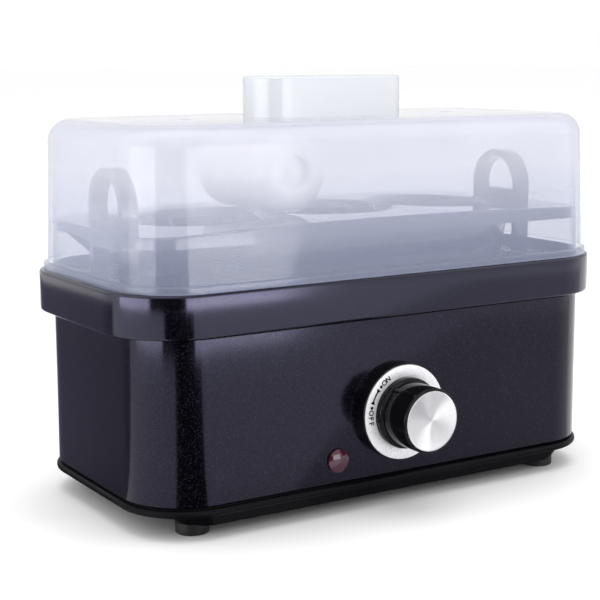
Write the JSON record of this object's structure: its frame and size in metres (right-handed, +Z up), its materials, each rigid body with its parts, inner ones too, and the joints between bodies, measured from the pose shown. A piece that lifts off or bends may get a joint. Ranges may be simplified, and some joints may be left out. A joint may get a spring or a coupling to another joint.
{
  "type": "electric egg cooker",
  "caption": "Low rounded housing with a knob, a heated water pan, a lift-out egg tray with arched handles and a frosted lift-off lid.",
  "frame": {"origin": "on the table under the middle of the whole appliance, knob and cord gland included", "axes": "+X to the right of the front, -Y towards the front with the knob, +Z up"},
  "size_m": [0.2126, 0.1278, 0.1575],
  "materials": {
    "housing_black": "satin with fine metallic sparkle",
    "band_black": "gloss",
    "base_black": "satin",
    "foot_rubber": "matte",
    "steel": "plated",
    "pan_steel": "brushed",
    "silicone": "matte",
    "aluminium_plain": "plain",
    "element_steel": "heat darkened",
    "phenolic": "matte",
    "fuse_white": "matte",
    "brass_plain": "plain",
    "dial_black": "gloss",
    "ring_silver": "silver paint",
    "knob_black": "gloss",
    "cap_silver": "spun",
    "lens_maroon": "gloss",
    "lamp_glass": "clear",
    "gland_black": "matte",
    "block_white": "matte",
    "lead_sleeve": "braided sleeve",
    "tray_black": "satin",
    "cup_white": "milky white",
    "lid_frosted": "frosted",
    "grip_white": "frosted"
  },
  "bodies": {
    "housing": {"outer_housing": "housing_black", "rim_band": "band_black", "base_plate": "base_black", "foot_front_left": "foot_rubber", "foot_front_right": "foot_rubber", "foot_rear_left": "foot_rubber", "foot_rear_right": "foot_rubber", "base_screws": "steel", "heating_pan": "pan_steel", "pan_gasket": "silicone", "heat_spreader": "aluminium_plain", "heating_element": "element_steel", "element_clamps": "steel", "clamp_screws": "steel", "thermostat": "phenolic", "thermostat_screws": "steel", "fuse_clip": "aluminium_plain", "thermal_fuse": "fuse_white", "pan_studs": "steel", "bridge_straps": "steel", "stud_nuts": "steel", "shield_spacers": "brass_plain", "heat_shield": "aluminium_plain", "rotary_switch": "phenolic", "switch_nut": "brass_plain", "dial_base": "dial_black", "dial_ring": "ring_silver", "indicator_lens": "lens_maroon", "indicator_lamp": "lamp_glass", "lens_clip": "steel", "cord_gland": "gland_black", "gland_nut": "gland_black", "terminal_block": "block_white", "terminal_screws": "brass_plain", "internal_leads": "lead_sleeve"},
    "knob": {"knob": "knob_black", "knob_cap": "cap_silver", "switch_shaft": "steel"},
    "tray": {"egg_tray": "tray_black", "tray_handle_left": "tray_black", "tray_handle_right": "tray_black"},
    "cup": {"measuring_cup": "cup_white", "pricking_pin": "steel"},
    "lid": {"lid_shell": "lid_frosted", "lid_handle": "grip_white", "lid_screws": "grip_white"}
  },
  "joints": [
    {"name": "tray_lift", "type": "slide", "parent": "housing", "child": "tray", "axis": [0, 0, 1], "range_m": [0, 0.06]},
    {"name": "cup_lift", "type": "slide", "parent": "tray", "child": "cup", "axis": [0, 0, 1], "range_m": [0, 0.04]},
    {"name": "lid_lift", "type": "slide", "parent": "cup", "child": "lid", "axis": [0, 0, 1], "range_m": [0, 0.09]},
    {"name": "knob_turn", "type": "hinge", "parent": "housing", "child": "knob", "pos_m": [0, -0.05185, 0.0359], "axis": [0, -1, 0], "range_deg": [0, 42]}
  ]
}
